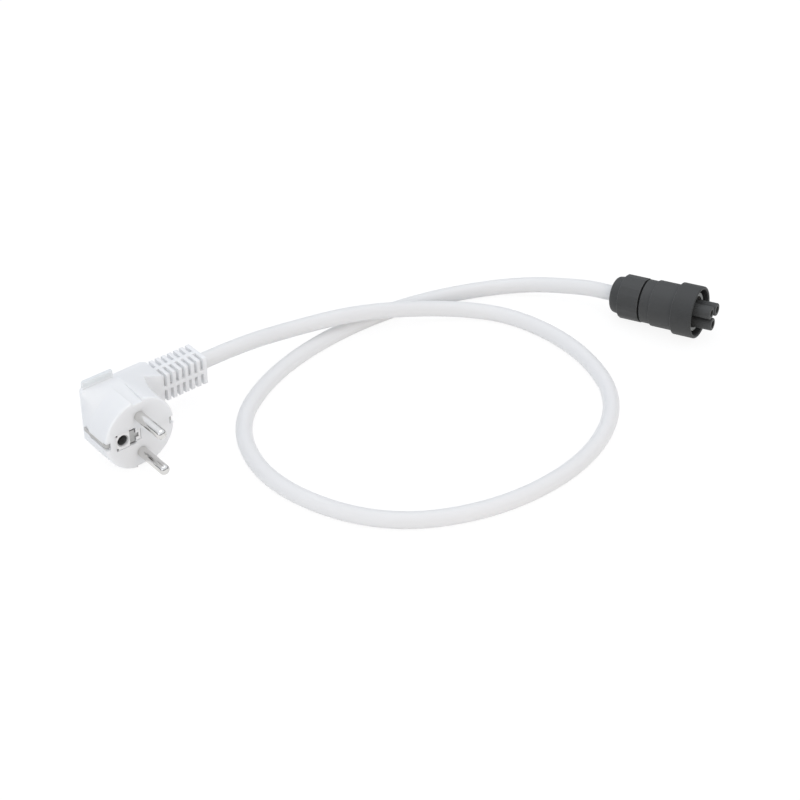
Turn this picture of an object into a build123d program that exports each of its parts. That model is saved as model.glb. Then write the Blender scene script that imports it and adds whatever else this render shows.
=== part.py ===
from build123d import *
import math
import os

os.makedirs("parts", exist_ok=True)

# Power cord: an angled two-pin earthed plug, a round white cable that lies in one loop,
# and a round three-pole installation connector. The origin is the centre of the plug's
# face, +X runs along the pins, +Y along the cable where it leaves the plug, +Z is up as
# the cord lies on a floor. All sizes are in millimetres.

# Cable
cable_diameter = 7.6
crossing_gap = 2.0
core_diameter = 2.6
core_circle = 2.0
core_straight = 1.4
core_bend = 2.0
core_lead = 11.0
core_room = 3.4
plug_core_starts = ((-1.0, 1.75), (-1.0, -1.75), (1.7, 0.0))

# Plug body
face_radius = 17.5
face_edge_round = 0.9
insert_depth = 13.0
barrel_depth = 21.0
grip_half_height = 17.3
grip_side = 15.4
grip_top_run = 3.5
grip_right = 16.4
grip_corner = 2.5
grip_shoulder = 18.0
back_run = 3.0
back_corner = 2.6
back_bend = 12.0
neck_depth = 35.2
neck_half_height = 7.2
neck_flat = 3.0
lip_height = 20.5
lip_thickness = 2.0
lip_left = 15.0
lip_right = 2.0
lip_round = 0.6
guide_width = 5.6
guide_depth = 1.5
guide_length = 18.5

# Boot
boot_start = 26.6
boot_length = 23.2
boot_width = 14.2
boot_height = 14.2
boot_corner = 0.5
boot_slots = 7
boot_slot_width = 1.5
boot_pitch = 3.29
boot_slot_depth = 1.9
boot_spine = 2.0
cable_anchor = 15.5

# Pins
pin_spacing = 19.0
pin_radius = 2.4
pin_length = 19.0
pin_tip_round = 1.9
pin_shank_radius = 2.0
pin_collar_radius = 3.3
pin_collar_start = 4.5
pin_collar_length = 1.5
pin_crimp_radius = 2.6
pin_crimp_start = 12.0
pin_tail = 17.5

# Earth contacts
earth_offset = 8.8
earth_bore_radius = 2.45
earth_tube_radius = 3.3
earth_tube_length = 12.6
earth_end_wall = 0.6
earth_tail_radius = 1.9
earth_tail = 15.6
strip_thickness = 0.6
strip_width = 2.0
clip_out = 16.7
clip_back = 18.4
clip_recess_width = 2.6
clip_recess_floor = 16.1
clip_notch_floor = 15.0
clip_notch_depth = 2.6
clip_notch_width = 3.8
lug_left = 12.6
lug_right = 2.4
lug_top = 2.8
lug_bottom = 3.4

# Pin bridge inside the plug
skin = 1.6
bridge_radius = 15.0
bridge_depth = 16.4
bridge_left = 13.9
bridge_right = 4.6
bridge_half_height = 13.2
window_left = 12.4
window_middle = 2.2
window_right = 0.3
window_half_height = 4.2
window_step = 2.8
strap_notch = 1.4
strap_notch_height = 2.4
boss_right = 5.4
boss_gap = 0.2
boss_back = 0.3
boss_hole_radius = 2.95
key_size = 1.0
key_length = 2.2
key_depth = 4.0

# Connector, along its own axis from the cable entry to the rim
connector_entry = (42.8, 245.5)
connector_turn = 21.5
gland_run = 14.0
nut_length = 15.8
nut_radius = 10.8
nut_flat_count = 12
nut_flat_depth = 0.16
nut_dome_radius = 8.5
nut_dome_length = 5.4
nut_dome_swell = 1.0
nut_dome_round = 2.2
nut_bore = 8.75
nut_seat_start = 5.0
nut_mouth_length = 2.0
entry_clearance = 0.25
groove_width = 1.0
spigot_radius = 8.55
spigot_start = 8.0
spigot_bore = 7.0
shoulder_start = 13.2
shoulder_end = 17.2
shoulder_bore = 5.4
neck_radius = 10.55
neck_length = 5.0
body_radius = 11.25
body_length = 11.8
chamber_bore = 8.7
housing_end = 36.0
collar_radius = 12.65
collar_bore = 11.1
collar_end = 44.0
collar_rim_round = 0.7
housing_gap = 0.05

# Gland parts
seal_start = 5.6
seal_radius = 5.95
clamp_start = 4.9
clamp_bore = 6.0
clamp_radius = 6.9
clamp_slots = 6
clamp_slot_width = 1.4
clamp_slot_end = 11.0

# Contacts and their carrier
carrier_start = 26.0
carrier_radius = 8.6
carrier_flange_radius = 10.5
carrier_flange = 1.2
sleeve_circle = 4.3
sleeve_radius = 3.1
sleeve_reach = 7.0
sleeve_mouth = 1.75
sleeve_tip_round = 0.5
sleeve_turn = 14.0
contact_radius = 2.1
contact_bore = 1.5
contact_start = 24.4
contact_bore_start = 34.0
contact_setback = 1.5
seal_ring_inner = 7.7
seal_ring_outer = 9.2
seal_ring_length = 4.6

# Floor and places worked out from the sizes above
floor_height = -face_radius
cable_radius = cable_diameter / 2
boot_axis = -(neck_depth - boot_width / 2)
boot_end = boot_start + boot_length
cable_start = boot_end - cable_anchor
lie = floor_height + cable_radius
neck_fall = (grip_half_height - neck_half_height) / (boot_start - grip_top_run)
grip_right_height = grip_half_height - neck_fall * (grip_right - grip_top_run)
flange_start = nut_length + groove_width
body_start = flange_start + neck_length
collar_start = body_start + body_length
cable_end = shoulder_end
flange_end = housing_end + carrier_flange
sleeve_end = collar_end + sleeve_reach
back_depth = barrel_depth + back_run
grip_lower_left = math.sqrt(grip_half_height**2 - grip_side**2)
grip_left_angle = 180 + math.degrees(math.asin(grip_lower_left / grip_half_height))

# The connector lies on the rims of its nut and its collar, so its axis tips up a little
turn = math.radians(connector_turn)
tilt = math.atan2(collar_radius - nut_radius, collar_start - nut_dome_length)
along = Vector(math.cos(turn) * math.cos(tilt), math.sin(turn) * math.cos(tilt), math.sin(tilt))
across = Vector(-math.sin(turn), math.cos(turn), 0)
raised = along.cross(across)
entry_height = floor_height + nut_radius * math.cos(tilt) - nut_dome_length * math.sin(tilt)
entry = Vector(connector_entry[0], connector_entry[1], entry_height)
connector_axis = Axis(entry, along)
section = Plane(origin=entry, x_dir=across, z_dir=along)
lengthwise = Plane(origin=entry, x_dir=along, z_dir=across * -1)


def on_connector(distance, side=0.0, height=0.0):
    return tuple(entry + along * distance + across * side + raised * height)


# Cable route: points chosen by hand, from the boot over the crossing, round the loop,
# under the crossing and into the connector
over = lie + cable_diameter + crossing_gap
route = [
    (boot_axis, cable_start, 0),
    (boot_axis, 66, 0),
    (-30, 102, over),
    (-20, 140, over),
    (-3, 184, lie),
    (22, 203, lie),
    (63, 207, lie),
    (104, 190, lie),
    (127, 147, lie),
    (125, 95, lie),
    (101, 51, lie),
    (53, 29, lie),
    (7, 43, lie),
    (-16, 80, lie),
    (-25, 125, lie),
    (-22, 173, lie),
    (-3, 221, lie),
    on_connector(-gland_run),
    on_connector(cable_end),
]
bend_share = 0.45


def bend_radii(points):
    radii = []
    for before, corner, after in zip(points, points[1:], points[2:]):
        run_in = Vector(*corner) - Vector(*before)
        run_out = Vector(*after) - Vector(*corner)
        half_turn = math.radians(run_in.get_angle(run_out)) / 2
        radii.append(bend_share * min(run_in.length, run_out.length) / math.tan(half_turn))
    return radii


# Cable sheath, one plain tube from inside the boot to inside the gland
route_radii = bend_radii(route)
with BuildPart() as cable:
    with BuildLine() as cable_path:
        FilletPolyline(*route, radius=route_radii)
    with BuildSketch(Plane(origin=route[0], z_dir=(0, 1, 0))):
        Circle(cable_radius)
    sweep(path=cable_path.wires()[0])
cable.part.label = "cable_sheath"
export_step(cable.part, "parts/cable_sheath.step")
path_length = cable_path.wires()[0].length
print("cable bend radii", [round(r, 1) for r in route_radii])
print("cable length", round(path_length, 1))
print("cable volume ratio", cable.part.volume / (path_length * math.pi * cable_radius**2))


def core_places(circle, first_turn):
    for index in range(3):
        angle = math.radians(first_turn + 120 * index)
        yield circle * math.cos(angle), circle * math.sin(angle)


# Pins: a round-ended solid pin with a thin shank, a collar that locks it in the bridge
# and a crimp barrel for its core
pins = {}
for name, side in (("line_pin", 1), ("neutral_pin", -1)):
    pin_height = side * pin_spacing / 2
    with BuildPart() as pin:
        with BuildSketch(Plane.XY.offset(pin_height)):
            with BuildLine():
                Polyline(
                    (-pin_tail, 0),
                    (-pin_tail, pin_crimp_radius),
                    (-pin_crimp_start, pin_crimp_radius),
                    (-pin_crimp_start, pin_shank_radius),
                    (-pin_collar_start - pin_collar_length, pin_shank_radius),
                    (-pin_collar_start - pin_collar_length, pin_collar_radius),
                    (-pin_collar_start, pin_collar_radius),
                    (-pin_collar_start, pin_shank_radius),
                    (0, pin_shank_radius),
                    (0, pin_radius),
                    (pin_length, pin_radius),
                    (pin_length, 0),
                    close=True,
                )
            make_face()
        revolve(axis=Axis((0, 0, pin_height), (1, 0, 0)))
        fillet(pin.edges().sort_by(Axis.X)[-1], pin_tip_round)
    pin.part.label = name
    export_step(pin.part, f"parts/{name}.step")
    pins[name] = pin.part

# Earth bracket: one folded strip that lies on the bridge behind the face and whose bent ends
# are the side clips, with a wider lug round the earth hole
strap_front = skin - strip_thickness
with BuildPart() as bracket:
    with BuildSketch(Plane.XY):
        with BuildLine():
            strap_middle = -skin + strip_thickness / 2
            FilletPolyline(
                (-clip_back, -clip_out),
                (strap_middle, -clip_out),
                (strap_middle, clip_out),
                (-clip_back, clip_out),
                radius=strip_thickness,
            )
        trace(line_width=strip_thickness)
    extrude(amount=strip_width / 2, both=True)
    with BuildSketch(Plane.YZ.offset(-strap_front)):
        with Locations((-(lug_left + lug_right) / 2, (lug_top - lug_bottom) / 2)):
            Rectangle(lug_left - lug_right, lug_top + lug_bottom)
    extrude(amount=-strip_thickness)
    with BuildSketch(Plane.YZ.offset(-strap_front)):
        with Locations((-earth_offset, 0)):
            Circle(earth_bore_radius)
    extrude(amount=-strip_thickness, mode=Mode.SUBTRACT)
bracket.part.label = "earth_bracket"
export_step(bracket.part, "parts/earth_bracket.step")

# Earth socket: a tube behind the lug that takes a fixed earth pin, closed at the back by
# a solid tail for the earth core
tube_front = skin
tube_back = tube_front + earth_tube_length
with BuildPart() as socket:
    with BuildSketch(Plane.XY):
        with BuildLine():
            Polyline(
                (-tube_front, earth_bore_radius - earth_offset),
                (-tube_front, earth_tube_radius - earth_offset),
                (-tube_back, earth_tube_radius - earth_offset),
                (-tube_back, earth_tail_radius - earth_offset),
                (-earth_tail, earth_tail_radius - earth_offset),
                (-earth_tail, -earth_offset),
                (-tube_back + earth_end_wall, -earth_offset),
                (-tube_back + earth_end_wall, earth_bore_radius - earth_offset),
                close=True,
            )
        make_face()
    revolve(axis=Axis((0, -earth_offset, 0), (1, 0, 0)))
socket.part.label = "earth_socket"
export_step(socket.part, "parts/earth_socket.step")

# Plug cores: three insulated wires from the cable's end to the pins and the earth socket
plug_cores = {}
core_ends = {
    "plug_line_core": (-pin_tail, 0, pin_spacing / 2),
    "plug_neutral_core": (-pin_tail, 0, -pin_spacing / 2),
    "plug_earth_core": (-earth_tail, -earth_offset, 0),
}
for (name, (end_depth, end_side, end_height)), (start_depth, start_height) in zip(
    core_ends.items(), plug_core_starts
):
    start_x = boot_axis + start_depth
    with BuildPart() as core:
        with BuildLine() as core_path:
            FilletPolyline(
                (start_x, cable_start, start_height),
                (start_x, cable_start - core_lead, start_height),
                (end_depth - core_room, end_side, end_height),
                (end_depth, end_side, end_height),
                radius=core_bend,
            )
        with BuildSketch(Plane(origin=(start_x, cable_start, start_height), z_dir=(0, -1, 0))):
            Circle(core_diameter / 2)
        sweep(path=core_path.wires()[0])
    core.part.label = name
    export_step(core.part, f"parts/{name}.step")
    plug_cores[name] = core.part

# Pin bridge: the hard carrier that holds pins, bracket and socket under the soft plug
# body, with a boss round the earth hole and a low land that show in the face
boss_left = window_left - boss_gap
boss_half_height = window_half_height - boss_gap
land_right = window_right - boss_gap
land_half_height = window_step - boss_gap
with BuildPart() as bridge:
    with BuildSketch(Plane.YZ.offset(-skin)):
        Circle(bridge_radius)
        with Locations(((bridge_right - bridge_left) / 2, 0)):
            Rectangle(bridge_left + bridge_right, 2 * bridge_half_height, mode=Mode.INTERSECT)
    extrude(amount=-(bridge_depth - skin))
    with BuildSketch(Plane.YZ.offset(-boss_back)):
        with Locations((-(boss_left + boss_right) / 2, 0)):
            Rectangle(boss_left - boss_right, 2 * boss_half_height)
        with Locations(((land_right - window_middle) / 2, 0)):
            Rectangle(land_right + window_middle, 2 * land_half_height)
        with Locations((strap_notch / 2 - window_middle, 0)):
            Rectangle(strap_notch, strap_notch_height, mode=Mode.SUBTRACT)
        with Locations((-earth_offset, 0)):
            Circle(boss_hole_radius, mode=Mode.SUBTRACT)
    extrude(amount=-(skin - boss_back))
    # Core holes at the corners of the boss and above the lug
    with BuildSketch(Plane.YZ.offset(-boss_back)) as core_holes:
        for side in (-1, 1):
            with Locations((-boss_left + key_size / 2, side * (boss_half_height - key_size / 2))):
                Rectangle(key_size, key_size)
        with Locations((-boss_right + key_length / 2, boss_half_height - key_size / 2)):
            Rectangle(key_length, key_size)
    extrude(amount=-key_depth, mode=Mode.SUBTRACT)
    with BuildSketch(Plane.YZ.offset(-skin)):
        with Locations((-earth_offset, 0)):
            Circle(earth_tube_radius)
    extrude(amount=-(bridge_depth - skin), mode=Mode.SUBTRACT)
    add(bracket.part, mode=Mode.SUBTRACT)
    for piece in pins.values():
        add(piece, mode=Mode.SUBTRACT)
bridge.part.label = "pin_bridge"
export_step(bridge.part, "parts/pin_bridge.step")

# Plug body: the soft white moulding with its round face, a grip whose upper side is
# squared off under a pull lip, a sloping back, a tapering neck and a ribbed boot
with BuildPart() as plug:
    with BuildSketch(Plane.YZ.offset(-barrel_depth)) as neck_profile:
        with BuildLine():
            CenterArc((0, 0), grip_half_height, grip_left_angle, 270 - grip_left_angle)
            Polyline(
                (0, -grip_half_height),
                (grip_top_run, -grip_half_height),
                (boot_start, -neck_half_height),
                (boot_start, neck_half_height),
                (grip_top_run, grip_half_height),
                (-grip_side, grip_half_height),
                (-grip_side, -grip_lower_left),
            )
        make_face()
        fillet(neck_profile.vertices().sort_by_distance((-grip_side, grip_half_height))[0], grip_corner)
        fillet(neck_profile.vertices().sort_by_distance((grip_top_run, grip_half_height))[0], grip_shoulder)
    extrude(amount=-(neck_depth - barrel_depth))
    with BuildSketch(Plane.XY) as back_profile:
        with BuildLine():
            Polyline(
                (-barrel_depth, -grip_side),
                (-back_depth, -grip_side),
                (-back_depth, grip_top_run),
                (-neck_depth, boot_start - neck_flat),
                (-neck_depth, boot_start),
                (-barrel_depth, boot_start),
                close=True,
            )
        make_face()
        fillet(back_profile.vertices().sort_by_distance((-back_depth, -grip_side))[0], back_corner)
        fillet(back_profile.vertices().sort_by_distance((-back_depth, grip_top_run))[0], back_bend)
    extrude(amount=lip_height, both=True, mode=Mode.INTERSECT)
    with BuildSketch(Plane.YZ.offset(-barrel_depth)) as grip_end:
        with BuildLine():
            CenterArc((0, 0), grip_half_height, grip_left_angle, 270 - grip_left_angle)
            Polyline(
                (0, -grip_half_height),
                (grip_top_run, -grip_half_height),
                (grip_right, -grip_right_height),
                (grip_right, grip_right_height),
                (grip_top_run, grip_half_height),
                (-grip_side, grip_half_height),
                (-grip_side, -grip_lower_left),
            )
        make_face()
        fillet(grip_end.vertices().sort_by_distance((-grip_side, grip_half_height))[0], grip_corner)
    with BuildSketch(Plane.YZ.offset(-insert_depth)):
        Circle(face_radius)
    loft(ruled=True)
    with BuildSketch(Plane.YZ):
        Circle(face_radius)
    extrude(amount=-insert_depth)
    fillet(plug.edges().filter_by(GeomType.CIRCLE).sort_by(Axis.X)[-1], face_edge_round)
    # Pull lip along the upper back edge
    with BuildSketch(Plane.XY.offset(grip_half_height - lip_round)) as lip_plan:
        with BuildLine():
            Polyline(
                (-back_depth + lip_thickness, -lip_left),
                (-back_depth, -lip_left + back_corner),
                (-back_depth, lip_right),
                (-back_depth + lip_thickness, lip_right),
                close=True,
            )
        make_face()
        fillet(lip_plan.vertices(), lip_round)
    extrude(amount=lip_height - grip_half_height + lip_round)
    # Guide grooves in line with the pins
    with BuildSketch(Plane.XZ):
        for side in (-1, 1):
            with BuildLine():
                Polyline(
                    (0, side * (face_radius - guide_depth)),
                    (0, side * lip_height),
                    (-guide_length, side * lip_height),
                    (-guide_length, side * face_radius),
                    close=True,
                )
            make_face()
    extrude(amount=guide_width / 2, both=True, mode=Mode.SUBTRACT)
    # Boot: a square bar with ring slots that stop at a spine along the middle of each side
    boot_plane = Plane(origin=(boot_axis, boot_start, 0), x_dir=(1, 0, 0), z_dir=(0, 1, 0))
    with BuildSketch(boot_plane):
        RectangleRounded(boot_width, boot_height, boot_corner)
    extrude(amount=boot_length)
    for index in range(boot_slots):
        with BuildSketch(boot_plane.offset(index * boot_pitch)):
            Rectangle(2 * boot_width, 2 * boot_height)
            RectangleRounded(
                boot_width - 2 * boot_slot_depth,
                boot_height - 2 * boot_slot_depth,
                boot_corner,
                mode=Mode.SUBTRACT,
            )
            Rectangle(boot_spine, 2 * boot_height, mode=Mode.SUBTRACT)
            Rectangle(2 * boot_width, boot_spine, mode=Mode.SUBTRACT)
        extrude(amount=boot_slot_width, mode=Mode.SUBTRACT)
    # Side recesses for the clips, with a wider and deeper notch at the face
    for side in (-1, 1):
        with BuildSketch(Plane.XY):
            with Locations((-clip_back / 2, side * (clip_recess_floor + face_radius) / 2)):
                Rectangle(clip_back, face_radius - clip_recess_floor)
        extrude(amount=clip_recess_width / 2, both=True, mode=Mode.SUBTRACT)
        with BuildSketch(Plane.XY):
            with Locations((-clip_notch_depth / 2, side * (clip_notch_floor + face_radius) / 2)):
                Rectangle(clip_notch_depth, face_radius - clip_notch_floor)
        extrude(amount=clip_notch_width / 2, both=True, mode=Mode.SUBTRACT)
    # Window in the face that shows the boss, the lug and the land
    with BuildSketch(Plane.YZ):
        with Locations((-(window_left + window_middle) / 2, 0)):
            Rectangle(window_left - window_middle, 2 * window_half_height)
        with Locations(((window_right - window_middle) / 2, 0)):
            Rectangle(window_right + window_middle, 2 * window_step)
    extrude(amount=-skin, mode=Mode.SUBTRACT)
    with BuildSketch(Plane.YZ):
        with Locations((-earth_offset, 0)):
            Circle(earth_bore_radius)
    extrude(amount=-tube_back, mode=Mode.SUBTRACT)
    extrude(core_holes.sketch, amount=-key_depth, mode=Mode.SUBTRACT)
    for piece in (bridge.part, bracket.part, socket.part, cable.part, *pins.values(), *plug_cores.values()):
        add(piece, mode=Mode.SUBTRACT)
plug.part.label = "plug_body"
export_step(plug.part, "parts/plug_body.step")

# Gland nut: a domed nut with faint flats that squeezes the seal onto the cable
with BuildPart() as nut:
    with BuildSketch(lengthwise):
        with BuildLine():
            Polyline(
                (0, cable_radius + entry_clearance),
                (0, nut_dome_radius),
                (nut_dome_length, nut_dome_radius + nut_dome_swell),
                (nut_dome_length, nut_radius),
                (nut_length, nut_radius),
                (nut_length, nut_bore),
                (nut_seat_start, nut_bore),
                (nut_mouth_length, cable_radius + entry_clearance),
                close=True,
            )
        make_face()
    revolve(axis=connector_axis)
    with BuildSketch(section):
        RegularPolygon(nut_radius - nut_flat_depth, nut_flat_count, major_radius=False)
    extrude(amount=nut_length, mode=Mode.INTERSECT)
    dome_edges = nut.edges().sort_by(connector_axis)
    fillet(dome_edges.group_by(connector_axis)[0].sort_by(SortBy.LENGTH)[-1], nut_dome_round)
nut.part.label = "gland_nut"
export_step(nut.part, "parts/gland_nut.step")

# Gland seal: the rubber bush that grips the cable
with BuildPart() as gland_seal:
    with BuildSketch(section.offset(seal_start)):
        Circle(seal_radius)
        Circle(cable_radius, mode=Mode.SUBTRACT)
    extrude(amount=shoulder_start - seal_start)
gland_seal.part.label = "gland_seal"
export_step(gland_seal.part, "parts/gland_seal.step")

# Gland clamp: a cage of fingers round the seal
with BuildPart() as clamp:
    with BuildSketch(section.offset(clamp_start)):
        Circle(clamp_radius)
        Circle(clamp_bore, mode=Mode.SUBTRACT)
    extrude(amount=shoulder_start - clamp_start)
    with BuildSketch(section.offset(clamp_start)):
        with PolarLocations(clamp_radius, clamp_slots):
            Rectangle(2 * clamp_bore - clamp_slot_width, clamp_slot_width)
    extrude(amount=clamp_slot_end - clamp_start, mode=Mode.SUBTRACT)
clamp.part.label = "gland_clamp"
export_step(clamp.part, "parts/gland_clamp.step")

# Connector housing: a threaded spigot for the nut, a wiring chamber and a stepped outside
with BuildPart() as housing:
    with BuildSketch(lengthwise):
        with BuildLine():
            Polyline(
                (spigot_start, spigot_bore),
                (spigot_start, spigot_radius),
                (flange_start, spigot_radius),
                (flange_start, neck_radius),
                (body_start, neck_radius),
                (body_start, body_radius),
                (collar_start, body_radius),
                (collar_start, collar_bore - housing_gap),
                (housing_end, collar_bore - housing_gap),
                (housing_end, chamber_bore),
                (shoulder_end, chamber_bore),
                (shoulder_end, shoulder_bore),
                (shoulder_start, shoulder_bore),
                (shoulder_start, spigot_bore),
                close=True,
            )
        make_face()
    revolve(axis=connector_axis)
housing.part.label = "connector_housing"
export_step(housing.part, "parts/connector_housing.step")

# Coupling collar: the ring pushed over the front of the housing that shields the contacts
with BuildPart() as collar:
    with BuildSketch(section.offset(collar_start)):
        Circle(collar_radius)
        Circle(collar_bore, mode=Mode.SUBTRACT)
    extrude(amount=collar_end - collar_start)
    fillet(collar.edges().filter_by(GeomType.CIRCLE).group_by(connector_axis)[-1], collar_rim_round)
collar.part.label = "coupling_collar"
export_step(collar.part, "parts/coupling_collar.step")

# Contacts: turned brass sockets with a closed back end where the core is crimped
contact_places = list(core_places(sleeve_circle, sleeve_turn))
pole_names = ("line", "neutral", "earth")
contacts = []
for pole, place in zip(pole_names, contact_places):
    with BuildPart() as contact:
        with BuildSketch(section.offset(contact_start)):
            with Locations(place):
                Circle(contact_radius)
        extrude(amount=sleeve_end - contact_setback - contact_start)
        with BuildSketch(section.offset(contact_bore_start)):
            with Locations(place):
                Circle(contact_bore)
        extrude(amount=sleeve_end - contact_bore_start, mode=Mode.SUBTRACT)
    contact.part.label = f"{pole}_contact"
    export_step(contact.part, f"parts/{pole}_contact.step")
    contacts.append(contact.part)

# Contact carrier: the insulating block whose three sleeves stand out past the collar
with BuildPart() as carrier:
    with BuildSketch(section.offset(carrier_start)):
        Circle(carrier_radius)
    extrude(amount=housing_end - carrier_start)
    with BuildSketch(section.offset(housing_end)):
        Circle(carrier_flange_radius)
    extrude(amount=carrier_flange)
    with BuildSketch(section.offset(flange_end)):
        with Locations(*contact_places):
            Circle(sleeve_radius)
    extrude(amount=sleeve_end - flange_end)
    fillet(carrier.edges().filter_by(GeomType.CIRCLE).group_by(connector_axis)[-1], sleeve_tip_round)
    with BuildSketch(section.offset(carrier_start)):
        with Locations(*contact_places):
            Circle(contact_radius)
    extrude(amount=sleeve_end - contact_setback - carrier_start, mode=Mode.SUBTRACT)
    with BuildSketch(section.offset(carrier_start)):
        with Locations(*contact_places):
            Circle(sleeve_mouth)
    extrude(amount=sleeve_end - carrier_start, mode=Mode.SUBTRACT)
carrier.part.label = "contact_carrier"
export_step(carrier.part, "parts/contact_carrier.step")

# Seal ring: pale silicone ring round the foot of the sleeves
with BuildPart() as ring:
    with BuildSketch(section.offset(flange_end)):
        Circle(seal_ring_outer)
        Circle(seal_ring_inner, mode=Mode.SUBTRACT)
    extrude(amount=seal_ring_length)
ring.part.label = "seal_ring"
export_step(ring.part, "parts/seal_ring.step")

# Connector cores: three insulated wires fanning from the cable's end to the contacts
for pole, start, end in zip(pole_names, core_places(core_circle, sleeve_turn), contact_places):
    with BuildPart() as core:
        with BuildLine() as core_path:
            FilletPolyline(
                on_connector(cable_end, *start),
                on_connector(cable_end + core_straight, *start),
                on_connector(contact_start - core_straight, *end),
                on_connector(contact_start, *end),
                radius=core_bend,
            )
        with BuildSketch(Plane(origin=on_connector(cable_end, *start), z_dir=along)):
            Circle(core_diameter / 2)
        sweep(path=core_path.wires()[0])
    core.part.label = f"connector_{pole}_core"
    export_step(core.part, f"parts/connector_{pole}_core.step")
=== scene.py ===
from math import tau

import bpy
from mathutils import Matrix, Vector


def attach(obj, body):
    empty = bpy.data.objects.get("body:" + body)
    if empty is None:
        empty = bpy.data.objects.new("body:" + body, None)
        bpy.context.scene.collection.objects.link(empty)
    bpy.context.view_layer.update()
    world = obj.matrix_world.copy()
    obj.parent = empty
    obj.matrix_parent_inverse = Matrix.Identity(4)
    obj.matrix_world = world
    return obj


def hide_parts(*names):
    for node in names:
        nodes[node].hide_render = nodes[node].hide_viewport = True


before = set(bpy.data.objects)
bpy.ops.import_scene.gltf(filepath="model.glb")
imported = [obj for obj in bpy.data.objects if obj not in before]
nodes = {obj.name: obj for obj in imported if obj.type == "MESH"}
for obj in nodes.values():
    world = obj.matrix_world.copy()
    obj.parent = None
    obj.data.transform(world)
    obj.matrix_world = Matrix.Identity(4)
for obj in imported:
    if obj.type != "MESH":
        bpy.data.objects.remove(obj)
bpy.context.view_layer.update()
scene = bpy.context.scene
scene.view_settings.view_transform = "Standard"


# Cable
# A round PVC-sheathed mains cable with three copper cores inside. It is extruded in one length,
# moulded into the plug's boot at one end and gripped by the connector's gland at the other, and
# it lies on the floor in one loose loop whose plug end passes over its other end.
MM = 0.001
cable_thickness = 7.6 * MM

# The route's points in millimetres, with the height of the cable's middle where it lies on the
# floor and where it passes over itself.
lie = -13.7
over = -4.6
cable_points = [
    (-28.1, 34.3, 0.0),
    (-28.1, 68.0, 0.8),
    (-30.0, 102.0, over),
    (-20.0, 140.0, over),
    (-3.5, 184.4, -13.0),
    (22.0, 203.2, lie),
    (63.3, 206.4, lie),
    (103.5, 189.3, lie),
    (126.0, 147.2, lie),
    (125.3, 94.7, lie),
    (101.4, 50.7, lie),
    (51.8, 31.1, lie),
    (7.9, 44.0, lie),
    (-15.6, 79.9, lie),
    (-25.0, 125.0, lie),
    (-22.0, 173.0, lie),
    (-3.0, 221.0, lie),
    (26.9, 239.2, -8.2),
    (40.8, 244.7, -7.2),
    (58.8, 251.8, -6.0),
]
cable_curve = bpy.data.curves.new("cable", "CURVE")
cable_curve.dimensions = "3D"
cable_curve.bevel_depth = cable_thickness / 2
cable_curve.bevel_resolution = 8
cable_curve.resolution_u = 16
cable_curve.use_fill_caps = True
route = cable_curve.splines.new("NURBS")
route.points.add(len(cable_points) - 1)
for point, spot in zip(route.points, cable_points):
    point.co = (*(value * MM for value in spot), 1.0)
route.order_u = 3
route.use_endpoint_u = True
cable = bpy.data.objects.new("cable", cable_curve)
scene.collection.objects.link(cable)


def linear(hex_colour):
    parts = [int(hex_colour[i : i + 2], 16) / 255 for i in (1, 3, 5)]
    return (*(c / 12.92 if c <= 0.04045 else ((c + 0.055) / 1.055) ** 2.4 for c in parts), 1.0)


def bare_material(name):
    material = bpy.data.materials.new(name)
    material.use_nodes = True
    material.node_tree.nodes.clear()
    return material


def add(material, kind, sockets=(), **settings):
    node = material.node_tree.nodes.new(kind)
    for name, value in settings.items():
        setattr(node, name, value)
    for name, value in dict(sockets).items():
        if isinstance(value, bpy.types.NodeSocket):
            material.node_tree.links.new(value, node.inputs[name])
        else:
            node.inputs[name].default_value = value
    return node


# Extruded PVC: a smooth satin skin, translucent enough that light softens its shaded side. The
# extruder leaves a faint ripple on it, and handling a slight change of tone along the run.
tone_length = 60 * MM
ripple_size = 2.5 * MM
ripple_depth = 0.2 * MM
extruded_pvc = bare_material("extruded_pvc_white")
place = add(extruded_pvc, "ShaderNodeTexCoord")
tone = add(
    extruded_pvc,
    "ShaderNodeTexNoise",
    {"Vector": place.outputs["Object"], "Scale": 1 / tone_length, "Detail": 3.0},
)
tint = add(
    extruded_pvc,
    "ShaderNodeMix",
    {"Factor": tone.outputs["Fac"], "A": linear("#E5E5E5"), "B": linear("#EAEAEA")},
    data_type="RGBA",
)
ripple = add(
    extruded_pvc,
    "ShaderNodeTexNoise",
    {"Vector": place.outputs["Object"], "Scale": 1 / ripple_size, "Detail": 2.0},
)
relief = add(
    extruded_pvc,
    "ShaderNodeBump",
    {"Height": ripple.outputs["Fac"], "Strength": 0.06, "Distance": ripple_depth},
)
finish = add(
    extruded_pvc,
    "ShaderNodeBsdfPrincipled",
    {
        "Base Color": tint.outputs["Result"],
        "Roughness": 0.42,
        "IOR": 1.53,
        "Subsurface Weight": 0.5,
        "Subsurface Radius": (1.0, 1.0, 1.0),
        "Subsurface Scale": 2.0 * MM,
        "Normal": relief.outputs["Normal"],
    },
)
add(extruded_pvc, "ShaderNodeOutputMaterial", {"Surface": finish.outputs["BSDF"]})
cable_curve.materials.append(extruded_pvc)
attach(cable, "root")
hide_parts("cable_sheath")


# Plug body
# The soft white moulding of an angled plug, shot in one piece over the pin bridge and the
# cable's end: round face, grip with a pull lip, neck and ribbed boot.
# Heights where the pull lip's painted shade begins and where it is full.
lip_foot = 17.4 * MM
lip_shade_full = 18.4 * MM
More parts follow.
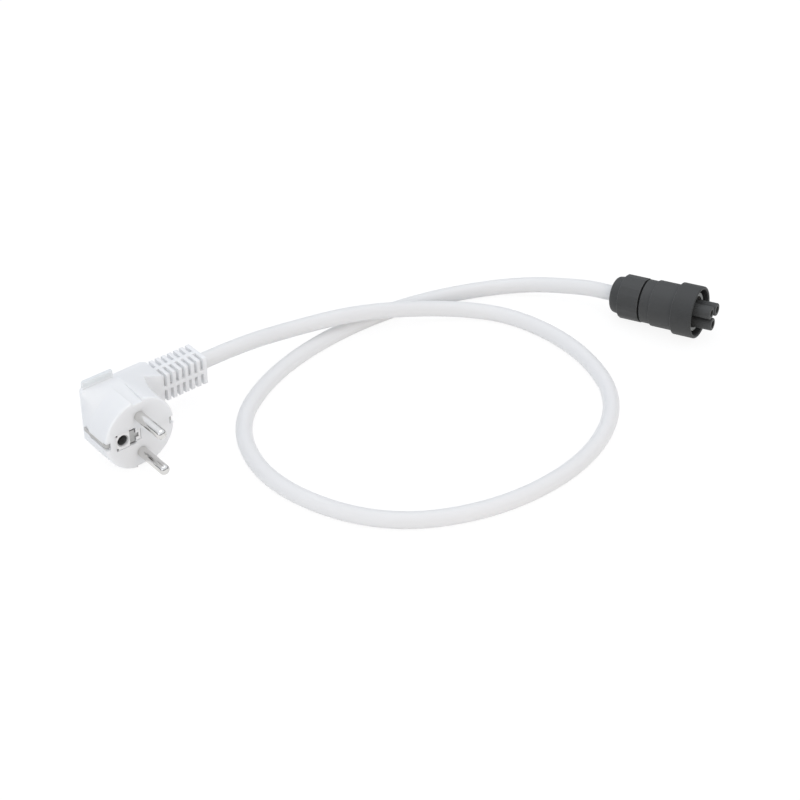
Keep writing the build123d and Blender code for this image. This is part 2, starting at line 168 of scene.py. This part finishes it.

# Moulded PVC: satin white and a little translucent, with edges that the mould leaves soft, a
# painted shade that greys the pull lip and a fine spark-eroded grain. The grain is really about
# 0.2 mm and is drawn at 0.7 mm so that it shows.
body_patches = 18 * MM
body_grain = 0.7 * MM
body_grain_depth = 0.1 * MM
body_edge = 0.4 * MM
moulded_pvc = bare_material("moulded_pvc_white")
place = add(moulded_pvc, "ShaderNodeTexCoord")
tone = add(
    moulded_pvc,
    "ShaderNodeTexNoise",
    {"Vector": place.outputs["Object"], "Scale": 1 / body_patches, "Detail": 3.0},
)
tint = add(
    moulded_pvc,
    "ShaderNodeMix",
    {"Factor": tone.outputs["Fac"], "A": linear("#EBECED"), "B": linear("#F0F1F2")},
    data_type="RGBA",
)
height = add(moulded_pvc, "ShaderNodeSeparateXYZ", {"Vector": place.outputs["Object"]})
# Painted shade: from the lip's foot upwards the white turns grey, standing in for the lip's
# shaded front.
lip_shade_mask = add(
    moulded_pvc,
    "ShaderNodeMapRange",
    {"Value": height.outputs["Z"], "From Min": lip_foot, "From Max": lip_shade_full},
)
painted_lip_shade = add(
    moulded_pvc,
    "ShaderNodeMix",
    {"Factor": lip_shade_mask.outputs["Result"], "A": tint.outputs["Result"], "B": linear("#DFE2E3")},
    data_type="RGBA",
)
grain = add(
    moulded_pvc,
    "ShaderNodeTexNoise",
    {"Vector": place.outputs["Object"], "Scale": 1 / body_grain, "Detail": 2.0},
)
soft_edge = add(moulded_pvc, "ShaderNodeBevel", {"Radius": body_edge}, samples=6)
relief = add(
    moulded_pvc,
    "ShaderNodeBump",
    {
        "Height": grain.outputs["Fac"],
        "Strength": 0.08,
        "Distance": body_grain_depth,
        "Normal": soft_edge.outputs["Normal"],
    },
)
finish = add(
    moulded_pvc,
    "ShaderNodeBsdfPrincipled",
    {
        "Base Color": painted_lip_shade.outputs["Result"],
        "Roughness": 0.46,
        "IOR": 1.53,
        "Subsurface Weight": 0.7,
        "Subsurface Radius": (1.0, 1.0, 1.0),
        "Subsurface Scale": 2.0 * MM,
        "Normal": relief.outputs["Normal"],
    },
)
add(moulded_pvc, "ShaderNodeOutputMaterial", {"Surface": finish.outputs["BSDF"]})


def dress(node_name, material):
    piece = nodes[node_name]
    piece.data.materials.clear()
    piece.data.materials.append(material)


dress("plug_body", moulded_pvc)


# Pin bridge
# The hard plastic carrier under the soft body. It is moulded first and holds pins, earth strip
# and earth tube. Only its boss round the earth hole shows, in the face's window.
# The painted shade in the bridge: its reach round the earth hole and the depths where it starts
# and is full.
earth_hole = (-1.0 * MM, -8.8 * MM, 0.0)
shade_free_reach = 3.4 * MM
shade_full_reach = 3.6 * MM
shade_starts = -0.4 * MM
shade_full_depth = -1.4 * MM

# Moulded polyamide: a harder white than the PVC, with a smooth tool finish. Below its face it is
# painted with shade, darker the deeper it lies, but not round the earth hole.
bridge_patches = 4 * MM
bridge_relief = 0.1 * MM
polyamide_white = bare_material("moulded_polyamide_white")
place = add(polyamide_white, "ShaderNodeTexCoord")
tone = add(
    polyamide_white,
    "ShaderNodeTexNoise",
    {"Vector": place.outputs["Object"], "Scale": 1 / bridge_patches, "Detail": 4.0},
)
tint = add(
    polyamide_white,
    "ShaderNodeMix",
    {"Factor": tone.outputs["Fac"], "A": linear("#E9E9E9"), "B": linear("#EFEFEE")},
    data_type="RGBA",
)
depth = add(polyamide_white, "ShaderNodeSeparateXYZ", {"Vector": place.outputs["Object"]})
shade_by_depth = add(
    polyamide_white,
    "ShaderNodeMapRange",
    {"Value": depth.outputs["X"], "From Min": shade_starts, "From Max": shade_full_depth},
)
from_earth_hole = add(
    polyamide_white,
    "ShaderNodeVectorMath",
    {0: place.outputs["Object"], 1: earth_hole},
    operation="DISTANCE",
)
away = add(
    polyamide_white,
    "ShaderNodeMapRange",
    {"Value": from_earth_hole.outputs["Value"], "From Min": shade_free_reach, "From Max": shade_full_reach},
)
# Painted shade: deeper plastic turns dark grey, except round the earth hole.
painted_shade = add(
    polyamide_white,
    "ShaderNodeMath",
    {0: shade_by_depth.outputs["Result"], 1: away.outputs["Result"]},
    operation="MULTIPLY",
)
shaded_tint = add(
    polyamide_white,
    "ShaderNodeMix",
    {"Factor": painted_shade.outputs["Value"], "A": tint.outputs["Result"], "B": linear("#4A4846")},
    data_type="RGBA",
)
relief = add(
    polyamide_white,
    "ShaderNodeBump",
    {"Height": tone.outputs["Fac"], "Strength": 0.05, "Distance": bridge_relief},
)
finish = add(
    polyamide_white,
    "ShaderNodeBsdfPrincipled",
    {
        "Base Color": shaded_tint.outputs["Result"],
        "Roughness": 0.36,
        "IOR": 1.53,
        "Normal": relief.outputs["Normal"],
    },
)
add(polyamide_white, "ShaderNodeOutputMaterial", {"Surface": finish.outputs["BSDF"]})
dress("pin_bridge", polyamide_white)


# Pins
# Two solid brass pins turned on a lathe, rounded at the tip and nickel plated, locked in the
# bridge by a collar.

# Nickel-plated brass: bright metal with very fine turning lines round the axis. The lines are
# really about 0.05 mm apart and are drawn at 0.35 mm so that they show. A wave texture repeats
# each time that its scaled length grows by wave_repeat.
wave_repeat = tau / 20
turning_lines = 0.35 * MM
turning_depth = 0.02 * MM
pin_wear = 3 * MM
nickel = bare_material("nickel_plated_brass")
place = add(nickel, "ShaderNodeTexCoord")
turning = add(
    nickel,
    "ShaderNodeTexWave",
    {
        "Vector": place.outputs["Object"],
        "Scale": wave_repeat / turning_lines,
        "Distortion": 1.5,
        "Detail": 2.0,
    },
    bands_direction="X",
)
wear = add(
    nickel,
    "ShaderNodeTexNoise",
    {"Vector": place.outputs["Object"], "Scale": 1 / pin_wear, "Detail": 4.0},
)
tint = add(
    nickel,
    "ShaderNodeMix",
    {"Factor": wear.outputs["Fac"], "A": linear("#D2D1CF"), "B": linear("#E2E1DF")},
    data_type="RGBA",
)
gloss = add(
    nickel,
    "ShaderNodeMapRange",
    {"Value": wear.outputs["Fac"], "To Min": 0.09, "To Max": 0.15},
)
relief = add(
    nickel,
    "ShaderNodeBump",
    {"Height": turning.outputs["Fac"], "Strength": 0.03, "Distance": turning_depth},
)
finish = add(
    nickel,
    "ShaderNodeBsdfPrincipled",
    {
        "Base Color": tint.outputs["Result"],
        "Metallic": 1.0,
        "Roughness": gloss.outputs["Result"],
        "Normal": relief.outputs["Normal"],
    },
)
add(nickel, "ShaderNodeOutputMaterial", {"Surface": finish.outputs["BSDF"]})
dress("line_pin", nickel)
dress("neutral_pin", nickel)


# Earth strip and earth tube
# One strip of sheet metal, stamped and folded into two side clips, a strap and a lug, with a
# turned tube behind the lug. Both sit in the bridge and the soft body holds them there.

# Tin-plated steel: duller than the pins, with rolling lines along the strip. The lines are
# drawn at 0.4 mm, coarser than they are, so that they show.
rolling_lines = 0.4 * MM
along_the_strip = (0.1, 0.1, 1.0)
tinned_steel = bare_material("tin_plated_steel")
place = add(tinned_steel, "ShaderNodeTexCoord")
stretch = add(
    tinned_steel,
    "ShaderNodeMapping",
    {"Vector": place.outputs["Object"], "Scale": along_the_strip},
)
rolling = add(
    tinned_steel,
    "ShaderNodeTexNoise",
    {"Vector": stretch.outputs["Vector"], "Scale": 1 / rolling_lines, "Detail": 3.0},
)
tint = add(
    tinned_steel,
    "ShaderNodeMix",
    {"Factor": rolling.outputs["Fac"], "A": linear("#B8B8B7"), "B": linear("#D4D3D1")},
    data_type="RGBA",
)
gloss = add(
    tinned_steel,
    "ShaderNodeMapRange",
    {"Value": rolling.outputs["Fac"], "To Min": 0.45, "To Max": 0.6},
)
finish = add(
    tinned_steel,
    "ShaderNodeBsdfPrincipled",
    {"Base Color": tint.outputs["Result"], "Metallic": 1.0, "Roughness": gloss.outputs["Result"]},
)
add(tinned_steel, "ShaderNodeOutputMaterial", {"Surface": finish.outputs["BSDF"]})
dress("earth_bracket", tinned_steel)
dress("earth_socket", tinned_steel)


# Cores
# Three insulated stranded wires at each end of the cable, crimped to the pins and the contacts
# and hidden inside the plug and the connector.
core_colours = {
    "line": ("#4A2A17", "#57331D"),
    "neutral": ("#1F4E96", "#2A5CA6"),
    "earth": ("#3E7A2C", "#E3C92B"),
}

# PVC insulation: brown and blue, each a little uneven in tone, and green with a yellow stripe
# that takes the crest of each wave.
stripe_repeat = 2.6 * MM
stripe_starts = 0.6
stripe_full = 0.65
core_patches = 5 * MM
for pole, (first, second) in core_colours.items():
    insulation = bare_material(f"{pole}_pvc_insulation")
    place = add(insulation, "ShaderNodeTexCoord")
    if pole == "earth":
        pattern = add(
            insulation,
            "ShaderNodeTexWave",
            {"Vector": place.outputs["Object"], "Scale": wave_repeat / stripe_repeat},
            bands_direction="Z",
        )
        stripe = add(
            insulation,
            "ShaderNodeMapRange",
            {
                "Value": pattern.outputs["Fac"],
                "From Min": stripe_starts,
                "From Max": stripe_full,
            },
        )
        share = stripe.outputs["Result"]
    else:
        pattern = add(
            insulation,
            "ShaderNodeTexNoise",
            {"Vector": place.outputs["Object"], "Scale": 1 / core_patches, "Detail": 2.0},
        )
        share = pattern.outputs["Fac"]
    tint = add(
        insulation,
        "ShaderNodeMix",
        {"Factor": share, "A": linear(first), "B": linear(second)},
        data_type="RGBA",
    )
    finish = add(
        insulation,
        "ShaderNodeBsdfPrincipled",
        {"Base Color": tint.outputs["Result"], "Roughness": 0.45, "IOR": 1.53},
    )
    add(insulation, "ShaderNodeOutputMaterial", {"Surface": finish.outputs["BSDF"]})
    dress(f"plug_{pole}_core", insulation)
    dress(f"connector_{pole}_core", insulation)


# Connector shell
# The gland nut, the housing, the collar and the contact carrier are injection moulded in one
# dark grey material; the clamp inside the nut is of the same. The nut screws onto the housing,
# and collar and carrier are fixed in its front.
shell_finishes = {
    "shell": ("#323333", "#3D3E3E", ("gland_nut", "gland_clamp", "connector_housing")),
    "collar": ("#2C2D2D", "#363737", ("coupling_collar",)),
    "carrier": ("#363737", "#434444", ("contact_carrier",)),
}

# Glass-filled polyamide: matt anthracite, each piece from its own mould and a little lighter or
# darker, slightly mottled, with a fine grain and paler edges: a painted highlight where they
# catch light, and wear from handling. The grain is really about 0.15 mm and is drawn at 0.6 mm so
# that it shows. The paling sets in where a softened edge leans away from its face, told by the
# cosine between the two.
shell_mottle = 6 * MM
shell_grain = 0.6 * MM
shell_grain_depth = 0.1 * MM
shell_edge = 0.5 * MM
# Cosines where the painted highlight and wear on the edges start and where they are full.
edge_light_and_wear_starts = 0.98
edge_light_and_wear_full = 0.85
for part_name, (deep, light, pieces) in shell_finishes.items():
    polyamide_dark = bare_material(f"glass_filled_polyamide_{part_name}")
    place = add(polyamide_dark, "ShaderNodeTexCoord")
    mottle = add(
        polyamide_dark,
        "ShaderNodeTexNoise",
        {
            "Vector": place.outputs["Object"],
            "Scale": 1 / shell_mottle,
            "Detail": 5.0,
            "Roughness": 0.6,
        },
    )
    tint = add(
        polyamide_dark,
        "ShaderNodeMix",
        {"Factor": mottle.outputs["Fac"], "A": linear(deep), "B": linear(light)},
        data_type="RGBA",
    )
    edge = add(polyamide_dark, "ShaderNodeBevel", {"Radius": shell_edge}, samples=6)
    face = add(polyamide_dark, "ShaderNodeNewGeometry")
    bend = add(
        polyamide_dark,
        "ShaderNodeVectorMath",
        {0: edge.outputs["Normal"], 1: face.outputs["Normal"]},
        operation="DOT_PRODUCT",
    )
    # Painted highlight and wear: the edges turn paler grey the more they round away from the
    # face.
    edge_light_and_wear = add(
        polyamide_dark,
        "ShaderNodeMapRange",
        {"Value": bend.outputs["Value"], "From Min": edge_light_and_wear_starts, "From Max": edge_light_and_wear_full},
    )
    highlit_and_worn = add(
        polyamide_dark,
        "ShaderNodeMix",
        {"Factor": edge_light_and_wear.outputs["Result"], "A": tint.outputs["Result"], "B": linear("#606161")},
        data_type="RGBA",
    )
    grain = add(
        polyamide_dark,
        "ShaderNodeTexNoise",
        {"Vector": place.outputs["Object"], "Scale": 1 / shell_grain, "Detail": 2.0},
    )
    gloss = add(
        polyamide_dark,
        "ShaderNodeMapRange",
        {"Value": mottle.outputs["Fac"], "To Min": 0.52, "To Max": 0.64},
    )
    relief = add(
        polyamide_dark,
        "ShaderNodeBump",
        {
            "Height": grain.outputs["Fac"],
            "Strength": 0.12,
            "Distance": shell_grain_depth,
            "Normal": edge.outputs["Normal"],
        },
    )
    finish = add(
        polyamide_dark,
        "ShaderNodeBsdfPrincipled",
        {
            "Base Color": highlit_and_worn.outputs["Result"],
            "Roughness": gloss.outputs["Result"],
            "IOR": 1.53,
            "Normal": relief.outputs["Normal"],
        },
    )
    add(polyamide_dark, "ShaderNodeOutputMaterial", {"Surface": finish.outputs["BSDF"]})
    for name in pieces:
        dress(name, polyamide_dark)


# Gland seal
# The moulded rubber bush inside the gland. The nut and the clamp squeeze it onto the cable, so
# that it grips and keeps water out.

# Moulded rubber: black and dull, with a faint bloom.
bloom_patches = 3 * MM
rubber = bare_material("moulded_rubber_black")
place = add(rubber, "ShaderNodeTexCoord")
bloom = add(
    rubber,
    "ShaderNodeTexNoise",
    {"Vector": place.outputs["Object"], "Scale": 1 / bloom_patches, "Detail": 4.0},
)
tint = add(
    rubber,
    "ShaderNodeMix",
    {"Factor": bloom.outputs["Fac"], "A": linear("#161616"), "B": linear("#242424")},
    data_type="RGBA",
)
finish = add(
    rubber,
    "ShaderNodeBsdfPrincipled",
    {"Base Color": tint.outputs["Result"], "Roughness": 0.75, "IOR": 1.52},
)
add(rubber, "ShaderNodeOutputMaterial", {"Surface": finish.outputs["BSDF"]})
dress("gland_seal", rubber)


# Seal ring
# A soft moulded ring pushed over the foot of the sleeves, which seals against the mating
# connector.

# Silicone: mid grey, slightly cloudy and waxy.
cloud_patches = 3 * MM
silicone = bare_material("silicone_grey")
place = add(silicone, "ShaderNodeTexCoord")
cloud = add(
    silicone,
    "ShaderNodeTexNoise",
    {"Vector": place.outputs["Object"], "Scale": 1 / cloud_patches, "Detail": 3.0},
)
tint = add(
    silicone,
    "ShaderNodeMix",
    {"Factor": cloud.outputs["Fac"], "A": linear("#858887"), "B": linear("#969998")},
    data_type="RGBA",
)
finish = add(
    silicone,
    "ShaderNodeBsdfPrincipled",
    {"Base Color": tint.outputs["Result"], "Roughness": 0.5, "IOR": 1.41},
)
add(silicone, "ShaderNodeOutputMaterial", {"Surface": finish.outputs["BSDF"]})
dress("seal_ring", silicone)


# Contacts
# Three brass sockets, turned on a lathe and pressed into the carrier's sleeves, set back from
# their mouths.

# Brass: warm metal with the uneven gloss of a turned surface, drawn at 0.3 mm so that it shows.
turned_patches = 0.3 * MM
brass = bare_material("turned_brass")
place = add(brass, "ShaderNodeTexCoord")
turning = add(
    brass,
    "ShaderNodeTexNoise",
    {"Vector": place.outputs["Object"], "Scale": 1 / turned_patches, "Detail": 2.0},
)
tint = add(
    brass,
    "ShaderNodeMix",
    {"Factor": turning.outputs["Fac"], "A": linear("#B5923F"), "B": linear("#D2B061")},
    data_type="RGBA",
)
gloss = add(
    brass,
    "ShaderNodeMapRange",
    {"Value": turning.outputs["Fac"], "To Min": 0.25, "To Max": 0.4},
)
finish = add(
    brass,
    "ShaderNodeBsdfPrincipled",
    {"Base Color": tint.outputs["Result"], "Metallic": 1.0, "Roughness": gloss.outputs["Result"]},
)
add(brass, "ShaderNodeOutputMaterial", {"Surface": finish.outputs["BSDF"]})
for pole in core_colours:
    dress(f"{pole}_contact", brass)


# Floor
# A plain white paper surface that the cord lies on, with only a faint shadow under it. To the
# camera and to reflections it is near white by itself. The lamps add a small share, and the
# shadow is where that share is missing.
floor_height = -17.5 * MM
floor_reach = 3.0
floor_corners = ((-1, -1), (1, -1), (1, 1), (-1, 1))
paper_glow = 0.88
floor_mesh = bpy.data.meshes.new("floor")
floor_mesh.from_pydata(
    [(x * floor_reach, y * floor_reach, floor_height) for x, y in floor_corners],
    [],
    [(0, 1, 2, 3)],
)
floor = bpy.data.objects.new("floor", floor_mesh)
scene.collection.objects.link(floor)
paper = bare_material("white_paper")
ray = add(paper, "ShaderNodeLightPath")
seen = add(
    paper,
    "ShaderNodeMath",
    {0: ray.outputs["Is Camera Ray"], 1: ray.outputs["Is Glossy Ray"]},
    operation="MAXIMUM",
)
seen_through = add(
    paper,
    "ShaderNodeMath",
    {0: seen.outputs["Value"], 1: ray.outputs["Is Transmission Ray"]},
    operation="MAXIMUM",
)
lit = add(paper, "ShaderNodeBsdfDiffuse", {"Color": linear("#F2F2F2")})
shadowed = add(paper, "ShaderNodeBsdfDiffuse", {"Color": linear("#6F6F6F")})
glow = add(paper, "ShaderNodeEmission", {"Color": linear("#FFFFFF"), "Strength": paper_glow})
backdrop = add(
    paper,
    "ShaderNodeAddShader",
    {0: shadowed.outputs["BSDF"], 1: glow.outputs["Emission"]},
)
surface = add(
    paper,
    "ShaderNodeMixShader",
    {0: seen_through.outputs["Value"], 1: lit.outputs["BSDF"], 2: backdrop.outputs["Shader"]},
)
add(paper, "ShaderNodeOutputMaterial", {"Surface": surface.outputs["Shader"]})
floor_mesh.materials.append(paper)


# Light
# A white studio tent, brighter towards its top, with a wide soft lamp overhead, a warm one in
# front and a cool one at the side. The tent ends a little above the table and has a skylight, and
# polished metal mirrors that dark gap and that bright top. It doesn't mirror the front lamp,
# which stands behind the cloth. Heights in the tent are sines of the angle above the table.
table_gap = {"From Min": 0.15, "From Max": 0.24, "To Min": 0.12, "To Max": 0.8}
crown_cloth = {"From Min": 0.42, "From Max": 0.52, "To Max": 0.3}
skylight_cloth = {"From Min": 0.86, "From Max": 0.94, "To Max": 0.8}
dome_light = {"To Min": 0.76, "To Max": 1.05}
tent = bpy.data.worlds.new("studio_tent")
tent.use_nodes = True
tent.node_tree.nodes.clear()
place = add(tent, "ShaderNodeTexCoord")
height = add(tent, "ShaderNodeSeparateXYZ", {"Vector": place.outputs["Generated"]})
gap = add(tent, "ShaderNodeMapRange", {"Value": height.outputs["Z"], **table_gap})
crown = add(tent, "ShaderNodeMapRange", {"Value": height.outputs["Z"], **crown_cloth})
skylight = add(tent, "ShaderNodeMapRange", {"Value": height.outputs["Z"], **skylight_cloth})
side = add(
    tent,
    "ShaderNodeMath",
    {0: gap.outputs["Result"], 1: crown.outputs["Result"]},
    operation="ADD",
)
wall = add(
    tent,
    "ShaderNodeMath",
    {0: side.outputs["Value"], 1: skylight.outputs["Result"]},
    operation="ADD",
)
dome = add(tent, "ShaderNodeMapRange", {"Value": height.outputs["Z"], **dome_light})
ray = add(tent, "ShaderNodeLightPath")
mirrored = add(
    tent,
    "ShaderNodeMix",
    {
        "Factor": ray.outputs["Is Glossy Ray"],
        "A": dome.outputs["Result"],
        "B": wall.outputs["Value"],
    },
)
seen = add(
    tent,
    "ShaderNodeMath",
    {0: ray.outputs["Is Camera Ray"], 1: ray.outputs["Is Transmission Ray"]},
    operation="MAXIMUM",
)
level = add(
    tent,
    "ShaderNodeMix",
    {"Factor": seen.outputs["Value"], "A": mirrored.outputs["Result"], "B": 1.0},
)
cloth = add(
    tent,
    "ShaderNodeMix",
    {"Factor": seen.outputs["Value"], "A": linear("#F7FAFF"), "B": linear("#FFFFFF")},
    data_type="RGBA",
)
sky = add(
    tent,
    "ShaderNodeBackground",
    {"Color": cloth.outputs["Result"], "Strength": level.outputs["Result"]},
)
add(tent, "ShaderNodeOutputWorld", {"Surface": sky.outputs["Background"]})
scene.world = tent

# Each lamp's name, place, width in metres, power in watts and colour.
loop_middle = Vector((0.045, 0.12, 0.0))
lamps = (
    ("overhead_lamp", (-0.35, 0.25, 1.3), 1.2, 0.8, "#FFFFFF"),
    ("front_lamp", (1.3, -0.1, 0.5), 0.9, 1.9, "#FFDCAE"),
    ("side_lamp", (0.35, -1.2, 0.35), 0.9, 1.6, "#F8FAFF"),
)
for name, stand, width, power, colour in lamps:
    lamp_data = bpy.data.lights.new(name, "AREA")
    lamp_data.shape = "SQUARE"
    lamp_data.size = width
    lamp_data.energy = power
    lamp_data.color = linear(colour)[:3]
    lamp = bpy.data.objects.new(name, lamp_data)
    lamp.location = stand
    lamp.visible_glossy = name != "front_lamp"
    lamp.rotation_euler = (loop_middle - Vector(stand)).to_track_quat("-Z", "Y").to_euler()
    scene.collection.objects.link(lamp)


# Camera
# It looks down at the cord from the side that the pins point to, as the photograph does. Its
# place and aim come from a fit to the pins and the plug's face.
camera_place = (0.6076, -0.3554, 0.5168)
camera_aim = Vector((-0.627, 0.517, -0.5835))
camera_data = bpy.data.cameras.new("camera")
camera_data.sensor_width = 36.0
camera_data.lens = 90.0
camera = bpy.data.objects.new("camera", camera_data)
camera.location = camera_place
camera.rotation_euler = camera_aim.to_track_quat("-Z", "Y").to_euler()
scene.collection.objects.link(camera)
scene.camera = camera
